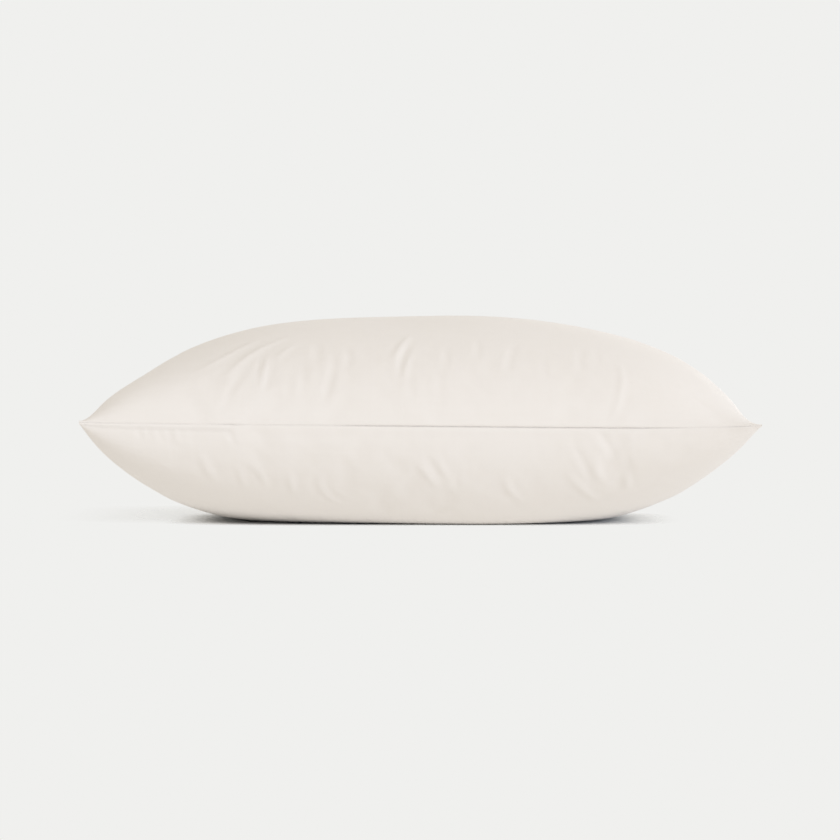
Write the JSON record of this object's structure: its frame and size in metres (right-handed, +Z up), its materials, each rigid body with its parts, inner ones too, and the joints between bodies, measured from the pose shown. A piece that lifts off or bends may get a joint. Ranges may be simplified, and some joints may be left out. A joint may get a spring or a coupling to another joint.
{
  "type": "filled pillowcase",
  "caption": "Plain cream cotton pillowcase over a soft pillow, lying flat, with a crowned body, pinched corners and a seam round its edge.",
  "frame": {"origin": "on the floor under the middle of the filled pillowcase's box", "axes": "+X along the case's length away from the closing end, +Y across it towards the back, +Z up"},
  "size_m": [0.62, 0.472, 0.1954],
  "materials": {
    "cotton": "plain woven cotton, cream, matt with a faint sheen"
  },
  "bodies": {
    "root": {"pillowcase": "cotton"}
  },
  "joints": []
}
